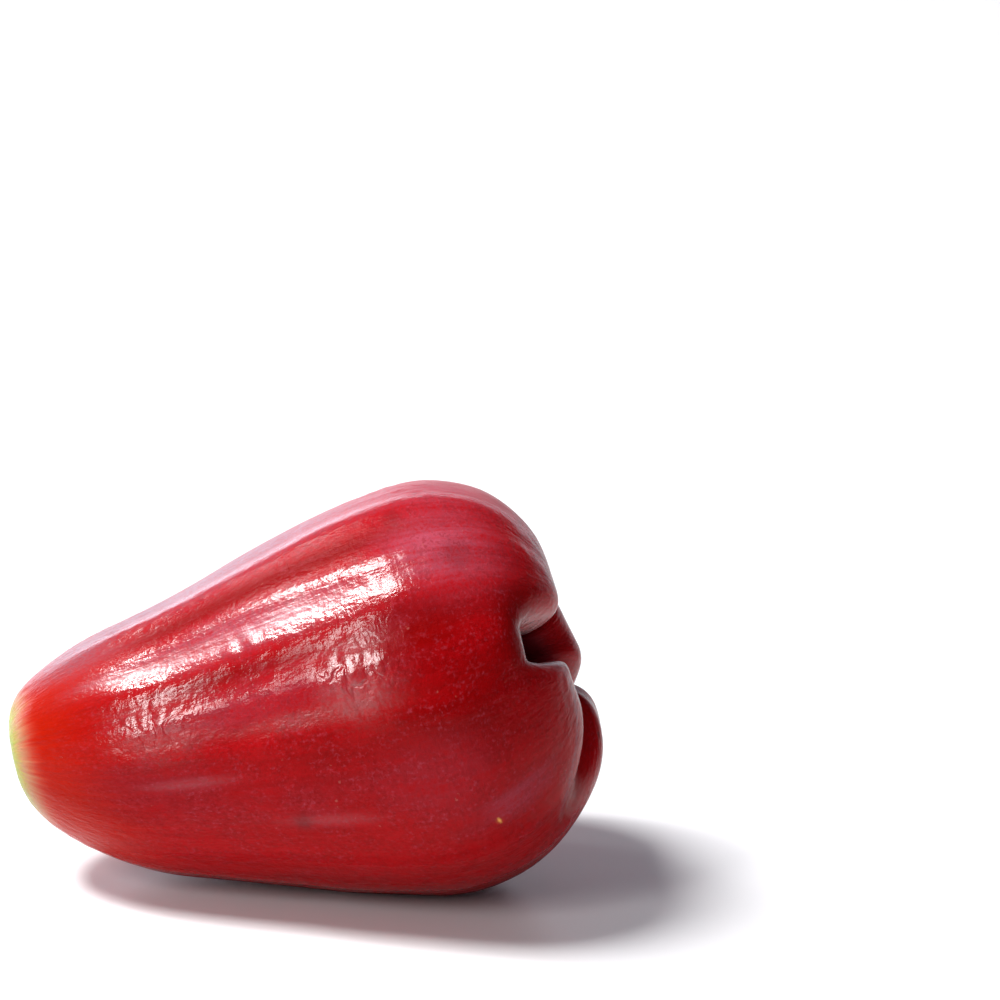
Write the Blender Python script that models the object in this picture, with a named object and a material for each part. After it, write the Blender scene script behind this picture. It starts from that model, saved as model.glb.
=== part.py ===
"""Rose apple lying on its side: a waxy bell-shaped fruit with four fleshy calyx lobes, as picked.

The fruit is one closed skin. A meridian runs from the stem scar along the belly, over the rim of a calyx
lobe and down into the calyx cavity. Two such meridians, one through a lobe and one through a notch, are blended
round the axis, and low ridges are raised along the belly. The dry ring of stamen ends and the dry style lie in
the cavity.
"""

import bmesh
import bpy
import numpy as np

MM = 0.001

# Meridian points in millimetres: distance along the axis from the stem end, and distance from the axis
BODY_LINE = [
    (1.6, 0.0), (1.2, 1.8), (0.1, 4.5), (1.2, 8.3), (5.0, 12.2),
    (14.0, 17.5), (28.0, 21.9), (42.0, 26.2), (54.0, 29.4),
]
LOBE_LINE = [
    (65.0, 30.8), (75.0, 28.4), (82.5, 23.0), (86.8, 15.0), (86.2, 9.6),
    (82.0, 6.6), (77.5, 7.6), (73.8, 8.8), (71.6, 7.0), (71.0, 0.0),
]
NOTCH_LINE = [
    (64.9, 30.7), (74.8, 28.1), (79.5, 23.6), (80.4, 18.6), (79.2, 15.6),
    (77.6, 13.8), (75.6, 12.2), (73.6, 10.2), (71.6, 7.0), (71.0, 0.0),
]

# Places on the whole meridian, as counts of points from the stem scar
SHOULDER_POINT = len(BODY_LINE) + 1
CREST_POINT = len(BODY_LINE) + 3
BROW_POINT = len(BODY_LINE) + 4
TIP_POINT = len(BODY_LINE) + 5
THROAT_POINT = len(BODY_LINE) + 6
FLOOR_POINT = len(BODY_LINE) + 8

# The axis is slightly bent: its rise in millimetres at these distances from the stem end
BEND_AT = [0.0, 18.0, 40.0, 62.0, 88.0]
BEND_RISE = [2.1, -0.9, -1.4, -1.5, 0.8]

# Angles run in degrees round the axis from the top towards -Y.
# Each notch has an angle, half the width of its floor, a depth as a share of the notch line's, how far
# its lobes lean at the rim, how steep its sides are there, and how rounded the foot of its sides is.
NOTCHES = [
    (67.5, 5.5, 1.45, 0.0, 11.0, 0.35),
    (138.0, 1.0, 0.85, 6.0, 5.0, 0.10),
    (222.0, 3.0, 1.00, 2.0, 5.0, 0.10),
    (308.0, 3.5, 1.00, -3.0, 6.0, 0.10),
]
# Each lobe lies between two notches, and has a rise of its crest along the axis, how much more it rises
# towards its second notch, how far its tip reaches in, and a swelling of its shoulder, in millimetres.
LOBES = [(-2.8, 0.8, 0.0, 0.0), (-0.4, 0.0, 1.0, 0.0), (-1.9, -2.4, 0.6, 0.0), (-2.8, 1.0, -0.6, 0.55)]
# The lobes part between these distances from the stem end, where their sides go from rounded to steep.
# The notches' floors widen up to where the crests start.
PARTING_START = 60.0
PARTING_END = 80.0
FLOOR_START = 66.0
CREST_START = 86.0
ROUNDED_SIDE = 2.2
# How far from a notch in degrees its lobes lean, and where along the axis their shoulders swell
LEAN_WIDTH = 14.0
SWELLING_AT = 82.0
SWELLING_WIDTH = 6.0

# Ridges along the belly: angle in degrees and height in millimetres
RIDGES = [
    (13, 0.65), (32, 0.55), (48, 0.55), (63, 0.45), (80, 0.25), (102, 0.20), (124, 0.30),
    (146, 0.35), (165, 0.40), (184, 0.35), (202, 0.50), (219, 0.45), (237, 0.60), (255, 0.50),
    (272, 0.65), (290, 0.50), (307, 0.60), (325, 0.55), (343, 0.25),
]
RIDGE_WIDTH = 6.5
RIDGE_MEAN = 0.3
RIDGES_START = 4.0
RIDGES_FULL = 26.0
# The cross-section is slightly oval away from the stem end: share of the radius, and angle in degrees
OVAL = 0.010
OVAL_ANGLE = -20.0
OVAL_START = 10.0
OVAL_FULL = 40.0

# The calyx end is raised by the tilt in degrees, and the belly is flattened under the fruit's weight
TILT = 14.0
FLAT_DEPTH = 0.8

RINGS = 56
COLUMNS = 96
# Where the rings lie: share of the rings against share of the meridian, closer together at the rim
RING_SHARE = [0.0, 0.10, 0.42, 0.84, 1.0]
LINE_SHARE = [0.0, 0.07, 0.48, 0.88, 1.0]
# How far the columns crowd towards the notches at the rim, and the shares of the meridian between which
# this grows
RIM_CROWDING = 0.55
CROWDING_SPAN = (0.45, 0.62)

# Dry remains on the floor of the cavity, in millimetres
GAP = 0.3
RING_RADIUS = 4.9
RING_THICKNESS = 0.75
RING_SIDES = 6
STUB_COUNT = 24
STUB_COLUMNS = 3
STUB_HEIGHT = 1.1
STUB_UNEVENNESS = 0.25
STYLE_HEIGHT = 4.2
STYLE_FOOT_RADIUS = 0.85
STYLE_TIP_RADIUS = 0.4
STYLE_LEAN = 0.6
STYLE_SIDES = 14
STYLE_RINGS = 12


def natural_spline(knots, values, at):
    """Cubic through the values at the knots, with no bend at either end."""
    knots, values, at = (np.asarray(x, float) for x in (knots, values, at))
    span = np.diff(knots)
    slope = np.diff(values, axis=0) / span.reshape(-1, *[1] * (values.ndim - 1))
    system = np.eye(len(knots))
    right = np.zeros(values.shape)
    for i in range(1, len(knots) - 1):
        system[i, i - 1 : i + 2] = span[i - 1], 2 * (span[i - 1] + span[i]), span[i]
        right[i] = 6 * (slope[i] - slope[i - 1])
    bend = np.linalg.solve(system, right)
    i = np.clip(np.searchsorted(knots, at) - 1, 0, len(knots) - 2)
    spread = at.shape + (1,) * (values.ndim - 1)
    t = (at - knots[i]).reshape(spread)
    width = span[i].reshape(spread)
    curve = slope[i] - width * (2 * bend[i] + bend[i + 1]) / 6
    return values[i] + t * curve + t**2 * bend[i] / 2 + t**3 * (bend[i + 1] - bend[i]) / (6 * width)


def smooth_step(x, low, high):
    """0 below low and 1 above high, with an even curve between them."""
    t = np.clip((x - low) / (high - low), 0, 1)
    return t * t * (3 - 2 * t)


def line_knots():
    """Each meridian point's share of the whole line's length."""
    steps = np.hypot(*np.diff(np.array(BODY_LINE + LOBE_LINE), axis=0).T)
    length = np.concatenate([[0.0], np.cumsum(steps)])
    return length / length[-1]


def ridge_relief(angle, along):
    """Sum of rounded ridges, which die out towards the stem end."""
    relief = np.zeros(np.shape(angle))
    for centre, height in RIDGES:
        away = np.mod(np.degrees(angle) - centre + 180, 360) - 180
        relief += height * np.exp(-((away / RIDGE_WIDTH) ** 2))
    return (relief - RIDGE_MEAN) * smooth_step(along, RIDGES_START, RIDGES_FULL)


def fruit_surface(share, angle):
    """Points of the fruit about its own axis, in millimetres.

    Share runs from 0 at the stem scar to 1 in the middle of the cavity's floor, and angle round the axis.
    """
    knots = line_knots()
    lobe_line = natural_spline(knots, BODY_LINE + LOBE_LINE, share)
    notch_line = natural_spline(knots, BODY_LINE + NOTCH_LINE, share)
    notch_angle, notch_floor, notch_depth, notch_lean, notch_side, notch_foot = np.array(NOTCHES).T
    notch_angle, notch_floor, notch_lean = (np.radians(x) for x in (notch_angle, notch_floor, notch_lean))
    lobe_rise, lobe_slant, lobe_reach, lobe_swelling = np.array(LOBES).T

    # The place of each point in its lobe, and the notch that is nearest
    edges = np.append(notch_angle - notch_angle[0], 2 * np.pi)
    turned = np.mod(angle - notch_angle[0], 2 * np.pi)
    lobe = np.clip(np.searchsorted(edges, turned, side="right") - 1, 0, len(LOBES) - 1)
    half = (edges[lobe + 1] - edges[lobe]) / 2
    place = turned - edges[lobe] - half
    nearest = np.where(place < 0, lobe, (lobe + 1) % len(NOTCHES))
    away = half - np.abs(place)

    # How full the lobe is: 0 on the notch's floor, 1 in the lobe's middle
    along = lobe_line[..., 0]
    floor = notch_floor[nearest] * smooth_step(along, FLOOR_START, CREST_START)
    inward = np.clip((away - floor) / (half - floor), 0, 1)
    inward = inward**2 * (1 + notch_foot[nearest]) / (inward + notch_foot[nearest])
    parting = smooth_step(along, PARTING_START, PARTING_END)
    fullness = 1 - (1 - inward) ** (ROUNDED_SIDE + (notch_side[nearest] - ROUNDED_SIDE) * parting)
    blend = 1 - notch_depth[nearest] * (1 - fullness)
    line = notch_line + (lobe_line - notch_line) * blend[..., None]

    throat = 1 - smooth_step(share, knots[THROAT_POINT], knots[FLOOR_POINT])
    tip = smooth_step(share, knots[CREST_POINT], knots[TIP_POINT]) * throat
    outside = 1 - smooth_step(share, knots[SHOULDER_POINT], knots[BROW_POINT])
    crest = lobe_rise[lobe] + lobe_slant[lobe] * place / half
    axial = line[..., 0] + crest * fullness * smooth_step(along, PARTING_START, CREST_START)
    swelling = lobe_swelling[lobe] * fullness * np.exp(-(((along - SWELLING_AT) / SWELLING_WIDTH) ** 2))
    radius = line[..., 1] - lobe_reach[lobe] * fullness * tip + ridge_relief(angle, along) * outside
    radius += swelling * outside
    lean = notch_lean[nearest] * fullness * np.exp(-((away / np.radians(LEAN_WIDTH)) ** 2))
    angle = angle + lean * parting * throat
    oval = np.cos(2 * (angle - np.radians(OVAL_ANGLE))) * smooth_step(axial, OVAL_START, OVAL_FULL)
    radius = radius * (1 + OVAL * oval)
    rise = natural_spline(BEND_AT, BEND_RISE, np.clip(axial, 0, BEND_AT[-1]))
    return np.stack([axial, -radius * np.sin(angle), radius * np.cos(angle) + rise], -1)


def sector_angles(column, crowding):
    """Angle of each column, from its share of the turn, with the columns crowded towards the notches."""
    edges = np.radians([notch[0] for notch in NOTCHES])
    edges = np.append(edges, edges[0] + 2 * np.pi)
    even = edges[0] + 2 * np.pi * column
    sector = column * len(NOTCHES)
    whole = np.minimum(np.floor(sector), len(NOTCHES) - 1).astype(int)
    part = sector - whole
    part = part - np.sin(2 * np.pi * part) / (2 * np.pi)
    crowded = edges[whole] + (edges[whole + 1] - edges[whole]) * part
    return even + (crowded - even) * crowding


def tilt_up(points):
    """Turn points about Y so that the calyx end rises by the tilt."""
    tilt = np.radians(TILT)
    x, y, z = np.moveaxis(points, -1, 0)
    return np.stack([x * np.cos(tilt) - z * np.sin(tilt), y, x * np.sin(tilt) + z * np.cos(tilt)], -1)


def fruit_grid():
    """A unit sphere's mesh, and the share and angle that each of its vertices stands for."""
    sphere = bmesh.new()
    bmesh.ops.create_uvsphere(sphere, u_segments=COLUMNS, v_segments=RINGS, radius=1.0)
    sphere.verts.ensure_lookup_table()
    unit = np.array([vertex.co for vertex in sphere.verts])
    ring = np.arccos(np.clip(-unit[:, 2], -1, 1)) / np.pi
    column = np.mod(np.arctan2(unit[:, 1], unit[:, 0]) / (2 * np.pi) + 1e-6, 1.0)
    share = np.interp(ring, RING_SHARE, LINE_SHARE)
    crowding = RIM_CROWDING * smooth_step(share, *CROWDING_SPAN)
    return sphere, share, sector_angles(column, crowding)


def fruit_offset(points):
    """What moves the tilted fruit to rest on z = 0, flattened a little, with its box centred on the origin."""
    low, high = points.min(axis=0), points.max(axis=0)
    return np.array([-(low[0] + high[0]) / 2, -(low[1] + high[1]) / 2, -low[2] - FLAT_DEPTH])


def make_material(name, colour, roughness):
    """Plain shader of one colour."""
    material = bpy.data.materials.new(name)
    material.use_nodes = True
    shader = material.node_tree.nodes["Principled BSDF"]
    shader.inputs["Base Color"].default_value = (*colour, 1.0)
    shader.inputs["Roughness"].default_value = roughness
    shader.inputs["Metallic"].default_value = 0.0
    material.diffuse_color = (*colour, 1.0)
    return material


def add_object(name, mesh, material, collection):
    """Put a mesh in the scene as one smooth-shaded sub-part."""
    mesh.materials.append(material)
    mesh.shade_smooth()
    part = bpy.data.objects.new(name, mesh)
    collection.objects.link(part)
    return part


def make_fruit(collection):
    """Flesh and skin in one solid, calyx lobes included. Returns the offset that places its cavity's contents."""
    sphere, share, angle = fruit_grid()
    points = tilt_up(fruit_surface(share, angle))
    offset = fruit_offset(points)
    points += offset
    points[:, 2] = np.maximum(points[:, 2], 0.0)
    for vertex, point in zip(sphere.verts, points * MM):
        vertex.co = point
    bmesh.ops.recalc_face_normals(sphere, faces=sphere.faces)
    mesh = bpy.data.meshes.new("fruit")
    sphere.to_mesh(mesh)
    sphere.free()
    add_object("fruit", mesh, make_material("skin", (0.42, 0.02, 0.03), 0.28), collection)
    return offset


def cavity_place(offset, along):
    """Where the fruit's own axis is in the scene, at a distance from the stem end, in millimetres."""
    rise = float(natural_spline(BEND_AT, BEND_RISE, np.array([along]))[0])
    return tilt_up(np.array([along, 0.0, rise])) + offset


def stand_in_cavity(part, offset):
    """Stand a piece modelled on +Z on the cavity's floor, pointing out along the fruit's axis."""
    floor = LOBE_LINE[-1][0] + GAP
    part.location = cavity_place(offset, floor) * MM
    part.rotation_euler = (0.0, np.pi / 2 - np.radians(TILT), 0.0)


def make_stamen_ring(collection, offset):
    """Low ring of dry stamen ends: a torus whose upper side is drawn out into uneven stubs."""
    bpy.ops.mesh.primitive_torus_add(
        major_radius=RING_RADIUS * MM,
        minor_radius=RING_THICKNESS * MM,
        major_segments=STUB_COUNT * STUB_COLUMNS,
        minor_segments=RING_SIDES,
    )
    mesh = bpy.context.active_object.data
    bpy.data.objects.remove(bpy.context.active_object)
    points = np.array([vertex.co for vertex in mesh.vertices]) / MM
    turn = np.arctan2(points[:, 1], points[:, 0])
    uneven = 1 - STUB_UNEVENNESS * (1 - np.sin(5 * turn + 1) * np.sin(2 * turn))
    stub = np.clip(np.cos(STUB_COUNT * turn), 0, 1)
    top = np.clip(points[:, 2] / RING_THICKNESS, 0, 1)
    points[:, 2] += RING_THICKNESS + STUB_HEIGHT * uneven * stub * top**2
    for vertex, point in zip(mesh.vertices, points * MM):
        vertex.co = point
    part = add_object("stamen_ring", mesh, make_material("dry_stamen", (0.30, 0.17, 0.08), 0.8), collection)
    stand_in_cavity(part, offset)


def make_style(collection, offset):
    """Dry style: a slim stub, a little bent, that narrows from its foot to a rounded tip."""
    style = bmesh.new()
    bmesh.ops.create_uvsphere(style, u_segments=STYLE_SIDES, v_segments=STYLE_RINGS, radius=1.0)
    for vertex in style.verts:
        up = (vertex.co.z + 1) / 2
        width = STYLE_FOOT_RADIUS + (STYLE_TIP_RADIUS - STYLE_FOOT_RADIUS) * up
        vertex.co.x = (vertex.co.x * width + STYLE_LEAN * up * up) * MM
        vertex.co.y = vertex.co.y * width * MM
        vertex.co.z = STYLE_HEIGHT * up * MM
    mesh = bpy.data.meshes.new("style")
    style.to_mesh(mesh)
    style.free()
    part = add_object("style", mesh, make_material("dry_style", (0.24, 0.12, 0.05), 0.75), collection)
    stand_in_cavity(part, offset)


def main():
    for old in list(bpy.data.objects):
        bpy.data.objects.remove(old)
    collection = bpy.data.collections.new("rose_apple")
    bpy.context.scene.collection.children.link(collection)
    offset = make_fruit(collection)
    make_stamen_ring(collection, offset)
    make_style(collection, offset)


main()
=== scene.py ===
"""Rose apple lying on its side: waxy ridged skin, calyx lobes, dry stamens and style, and a plain studio.

The skin is a surface of two parameters, the share of a meridian and the angle round the fruit's axis. It has
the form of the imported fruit, with finer relief on it, and replaces that node.
"""

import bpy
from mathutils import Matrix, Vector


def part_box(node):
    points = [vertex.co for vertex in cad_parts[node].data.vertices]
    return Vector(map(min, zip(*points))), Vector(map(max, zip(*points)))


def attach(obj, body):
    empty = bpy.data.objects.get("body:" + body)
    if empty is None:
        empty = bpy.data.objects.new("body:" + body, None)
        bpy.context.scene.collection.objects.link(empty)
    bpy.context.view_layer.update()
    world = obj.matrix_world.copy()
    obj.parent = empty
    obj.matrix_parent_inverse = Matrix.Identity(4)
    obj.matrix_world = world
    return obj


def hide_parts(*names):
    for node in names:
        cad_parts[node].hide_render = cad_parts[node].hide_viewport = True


bl_info = {
    "name": "Rose apple",
    "version": (1, 0, 0),
    "blender": (4, 5, 0),
    "location": "3D View > Sidebar > Rose apple",
    "description": "Makes the skin, calyx and dry remains of a rose apple, and a plain studio round it",
    "category": "Add Mesh",
}

import bpy
import numpy as np
from bpy.props import FloatProperty, FloatVectorProperty, IntProperty, PointerProperty
from mathutils import Matrix, Vector

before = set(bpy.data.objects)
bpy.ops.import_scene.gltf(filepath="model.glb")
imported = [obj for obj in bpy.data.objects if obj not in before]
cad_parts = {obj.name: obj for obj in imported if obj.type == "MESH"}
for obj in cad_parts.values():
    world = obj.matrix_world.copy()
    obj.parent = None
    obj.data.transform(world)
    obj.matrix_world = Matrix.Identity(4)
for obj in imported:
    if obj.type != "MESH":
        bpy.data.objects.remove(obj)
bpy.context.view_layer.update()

MM = 0.001
PANEL_NAME = "Rose apple"

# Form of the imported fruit, in millimetres: distance along the axis from the stem end, and from the axis
BODY_LINE = [
    (1.6, 0.0), (1.2, 1.8), (0.1, 4.5), (1.2, 8.3), (5.0, 12.2),
    (14.0, 17.5), (28.0, 21.9), (42.0, 26.2), (54.0, 29.4),
]
LOBE_LINE = [
    (65.0, 30.8), (75.0, 28.4), (82.5, 23.0), (86.8, 15.0), (86.2, 9.6),
    (82.0, 6.6), (77.5, 7.6), (73.8, 8.8), (71.6, 7.0), (71.0, 0.0),
]
NOTCH_LINE = [
    (64.9, 30.7), (74.8, 28.1), (79.5, 23.6), (80.4, 18.6), (79.2, 15.6),
    (77.6, 13.8), (75.6, 12.2), (73.6, 10.2), (71.6, 7.0), (71.0, 0.0),
]
SHOULDER_POINT = len(BODY_LINE) + 1
CREST_POINT = len(BODY_LINE) + 3
BROW_POINT = len(BODY_LINE) + 4
TIP_POINT = len(BODY_LINE) + 5
THROAT_POINT = len(BODY_LINE) + 6
FLOOR_POINT = len(BODY_LINE) + 8
BEND_AT = [0.0, 18.0, 40.0, 62.0, 88.0]
BEND_RISE = [2.1, -0.9, -1.4, -1.5, 0.8]

# Angles run in degrees round the axis from the top towards -Y.
# Notches: angle, half the width of the floor, depth as a share of the notch line's, lean and steepness of the
# sides, and how rounded their foot is
NOTCHES = [
    (67.5, 5.5, 1.45, 0.0, 11.0, 0.35),
    (138.0, 1.0, 0.85, 6.0, 5.0, 0.10),
    (222.0, 3.0, 1.00, 2.0, 5.0, 0.10),
    (308.0, 3.5, 1.00, -3.0, 6.0, 0.10),
]
# Lobes: rise of the crest, how much more it rises towards the second notch, reach of the tip, and swelling
# of the shoulder
LOBES = [(-2.8, 0.8, 0.0, 0.0), (-0.4, 0.0, 1.0, 0.0), (-1.9, -2.4, 0.6, 0.0), (-2.8, 1.0, -0.6, 0.55)]
# Where the lobes part along the axis, in millimetres, and how their sides and shoulders are rounded
PARTING_START = 60.0
PARTING_END = 80.0
FLOOR_START = 66.0
CREST_START = 86.0
ROUNDED_SIDE = 2.2
LEAN_WIDTH = 14.0
SWELLING_AT = 82.0
SWELLING_WIDTH = 6.0
# Ridges: angle, height
RIDGES = [
    (13, 0.65), (32, 0.55), (48, 0.55), (63, 0.45), (80, 0.25), (102, 0.20), (124, 0.30),
    (146, 0.35), (165, 0.40), (184, 0.35), (202, 0.50), (219, 0.45), (237, 0.60), (255, 0.50),
    (272, 0.65), (290, 0.50), (307, 0.60), (325, 0.55), (343, 0.25),
]
RIDGE_WIDTH = 6.5
RIDGE_MEAN = 0.3
RIDGES_START = 4.0
RIDGES_FULL = 26.0
# Oval section: share of the radius, angle of its longer way, and where along the axis it sets in
OVAL = 0.010
OVAL_ANGLE = -20.0
OVAL_START = 10.0
OVAL_FULL = 40.0
# How the fruit lies: its tilt in degrees, and the depth of the flat on its belly in millimetres
TILT = 14.0
FLAT_DEPTH = 0.8

# Where the skin's rings lie: share of the rings against share of the meridian
RING_SHARE = [0.0, 0.03, 0.42, 0.86, 1.0]
LINE_SHARE = [0.0, 0.02, 0.46, 0.87, 1.0]
RIM_CROWDING = 0.45
CROWDING_SPAN = (0.45, 0.62)

# The skin's own measure for patterns: a round body of this radius, in millimetres
PATTERN_RADIUS = 25.0

# Finer relief of the skin, in millimetres
LUMP_LENGTH = 15.0
WRINKLED_PATCH_LENGTH = 22.0
WRINKLE_LENGTH = 2.6
SCAR_DEPTH = 0.35
SCAR_RING_AT = 2.6
SCAR_RING_HEIGHT = 0.28
FIBRE_LENGTH = 1.3
FIBRE_HEIGHT = 0.08
FOLD_LENGTH = 3.2
FOLD_HEIGHT = 0.10

# Dry pieces in the cavity, in millimetres
CAVITY_GAP = 0.3
BAND_MIDDLE = 0.62
BAND_HALF_WIDTH = 0.72
BAND_HALF_HEIGHT = 0.55
FILAMENT_FOOT = 0.55
FILAMENT_RADIUS = 0.17
STYLE_RADIUS = 0.85
STYLE_LEAN = 0.6

# Marks on the skin: angle round the axis in degrees, way along the skin from the stem scar in millimetres,
# half widths both ways, and strength. Painted sheens are pink where the lights' soft reflections spread,
# painted shades are deep red in the furrows, round the notches and on the underside, polished patches are
# crinkled, and the wax is thick where the skin is glossy and in the pale blooms.
PAINTED_SHEENS = [
    (39, 50, 8, 21, 1.00), (2, 56, 13, 34, 0.80), (8, 88, 12, 10, 0.40), (90, 38, 3, 7, 0.25),
    (108, 58, 3, 7, 0.22), (114, 88, 5, 7, 0.55), (98, 76, 12, 9, 0.20), (30, 26, 12, 8, 0.50),
    (30, 80, 10, 8, 0.50), (66, 50, 6, 16, 0.35), (34, 85, 15, 10, 0.70), (210, 60, 24, 26, 0.35),
    (300, 48, 16, 22, 0.45), (330, 72, 12, 14, 0.35),
]
# Painted shade: deep red darkening in the furrows, round the four notches and on the underside
PAINTED_SHADES = [
    (62, 97, 16, 8, 1.00), (56, 77, 9, 8, 0.80), (54, 50, 3, 18, 0.60), (84, 66, 8, 12, 0.30),
    (24, 52, 5, 30, 1.00), (80, 82, 12, 10, 0.50), (138, 100, 8, 9, 0.80), (222, 98, 12, 8, 0.80),
    (308, 98, 12, 8, 0.80), (180, 70, 20, 20, 0.25),
]
POLISHED = [
    (64, 67, 12, 6.5, 1.00), (64, 35, 13, 7.5, 0.80), (246, 50, 12, 9, 0.7), (282, 66, 10, 7, 0.7),
]
GLOSSY = [
    (40, 46, 10.5, 28, 1.00), (3, 50, 13, 34, 0.55), (64, 67, 12, 6.5, 1.00), (64, 35, 13, 7.5, 1.00),
    (74, 60, 3, 12, 0.60), (60, 48, 4, 10, 0.35), (90, 38, 2, 7, 0.22), (108, 58, 2, 7, 0.20),
    (320, 50, 20, 26, 0.9), (246, 50, 12, 9, 0.8), (282, 66, 10, 7, 0.9), (200, 60, 16, 24, 0.5),
]
# Pale lilac bloom along the top edge and near the stem, painted there also as the sheen of the top edge
# mirroring the backdrop
BLOOMS_AND_SHEENS = [(-5, 40, 17, 30, 0.90), (14, 22, 14, 8, 0.50)]
# Painted highlight along the near lobe's edge: angle and way along the skin, angles between which it sets in
# and fades
PAINTED_EDGE_HIGHLIGHT = [(84, 105.6), (100, 105.6), (114, 102.6), (128, 96.6), (142, 90.6)]
EDGE_HIGHLIGHT_STARTS = (84, 92)
EDGE_HIGHLIGHT_FADES = (134, 142)
EDGE_HIGHLIGHT_WIDTH = 0.4
EDGE_HIGHLIGHT_STRENGTH = 0.6
# Small blemishes: the same, with radius in millimetres in the place of the half widths
DARK_SPOTS = [
    (155.5, 107.2, 0.5, 0.90), (157.5, 106.2, 0.35, 0.90), (108.4, 53.8, 1.5, 0.50),
    (36.4, 85.3, 2.6, 0.30), (268, 40, 1.1, 0.60), (18, 76, 1.5, 0.35),
]
PALE_SPOTS = [(117.5, 82.8, 0.30, 1.0), (232, 60, 0.30, 0.9)]

# Colours that no setting changes
BLEMISH_BROWN = (0.10, 0.010, 0.012, 1.0)
BLEMISH_ORANGE = (0.85, 0.42, 0.10, 1.0)
SPECK_PINK = (0.60, 0.20, 0.16, 1.0)
# Lilac of the bloom, also used for the painted sheen on the top edge and the painted edge highlight
BLOOM_AND_SHEEN_LILAC = (0.21, 0.12, 0.155, 1.0)
STRAW = (0.36, 0.22, 0.09, 1.0)
FLOOR_SHADE = (0.84, 0.84, 0.86, 1.0)
SKY_COLOUR = (0.89, 0.88, 1.0, 1.0)

# How strongly the skin mirrors the lights: bare, and under thick wax
BARE_IOR = 1.15
WAX_IOR = 1.76

# Floor, in metres: its radius, and how far it lies below the fruit's flat
FLOOR_RADIUS = 6.0
FLOOR_DROP = 0.00005

# Lights: direction from the fruit, and for the small ones their size in metres
OVERHEAD_WAY = (-0.48, 0.0, 0.877)
LIGHT_DISTANCE = 0.60
SMALL_LIGHTS = {
    "key": ((-0.60, 0.09, 0.79), (0.06, 0.11)),
    "window": ((-0.62, -0.62, 0.45), (0.09, 0.30)),
    "rear": ((-0.53, 0.45, 0.71), (0.06, 0.14)),
}


class SkinSettings(bpy.types.PropertyGroup):
    """Sizes and colours of the skin."""

    rings: IntProperty(
        name="Rings", description="Rings of the skin's mesh from the stem scar to the cavity",
        default=300, min=40,
    )
    columns: IntProperty(
        name="Columns", description="Columns of the skin's mesh round the fruit", default=308, min=40
    )
    lump_height: FloatProperty(
        name="Lumps", description="Height of the broad lumps in millimetres", default=0.06, min=0.0
    )
    wrinkle_height: FloatProperty(
        name="Wrinkles", description="Height of the fine crosswise wrinkles in millimetres",
        default=0.03, min=0.0,
    )
    crimson: FloatVectorProperty(
        name="Crimson", description="Main colour of the ripe skin",
        subtype="COLOR", size=3, min=0.0, max=1.0, default=(0.35, 0.002, 0.004),
    )
    # Deep red serves for darker random streaks and for painted shade in the furrows and round the notches
    deep_red: FloatVectorProperty(
        name="Deep red", description="Darker streaks and patches",
        subtype="COLOR", size=3, min=0.0, max=1.0, default=(0.21, 0.0008, 0.0009),
    )
    # Blush serves for pink mottles and freckles, and for painted pink sheen where the lights reflect softly
    blush_and_sheen: FloatVectorProperty(
        name="Blush", description="Pinkish patches where the wax is thick",
        subtype="COLOR", size=3, min=0.0, max=1.0, default=(0.42, 0.070, 0.110),
    )
    ember: FloatVectorProperty(
        name="Ember", description="Orange red towards the stem end",
        subtype="COLOR", size=3, min=0.0, max=1.0, default=(0.38, 0.010, 0.0015),
    )
    stem_green: FloatVectorProperty(
        name="Stem green", description="Green of the unripe stem end",
        subtype="COLOR", size=3, min=0.0, max=1.0, default=(0.16, 0.30, 0.02),
    )
    cavity_cream: FloatVectorProperty(
        name="Cavity cream", description="Pale flesh inside the calyx cavity",
        subtype="COLOR", size=3, min=0.0, max=1.0, default=(0.62, 0.50, 0.20),
    )
    roughness: FloatProperty(
        name="Roughness", description="Roughness of the waxy skin", default=0.17, min=0.0, max=1.0
    )


class RemainsSettings(bpy.types.PropertyGroup):
    """Sizes and colours of the dry stamens and style."""

    filaments: IntProperty(
        name="Filaments", description="Number of dry stamen ends in the ring", default=96, min=12
    )
    filament_length: FloatProperty(
        name="Filament length", description="Length of the longest filament in millimetres",
        default=2.9, min=0.5,
    )
    ring_radius: FloatProperty(
        name="Ring radius", description="Radius of the ring of stamens in millimetres", default=4.9, min=1.0
    )
    style_height: FloatProperty(
        name="Style height", description="Height of the dry style in millimetres", default=4.2, min=0.5
    )
    dry_brown: FloatVectorProperty(
        name="Dry brown", description="Colour of the dry fibres",
        subtype="COLOR", size=3, min=0.0, max=1.0, default=(0.20, 0.10, 0.04),
    )
    dry_tip: FloatVectorProperty(
        name="Dry tip", description="Colour of the darkest ends",
        subtype="COLOR", size=3, min=0.0, max=1.0, default=(0.03, 0.015, 0.01),
    )


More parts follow.
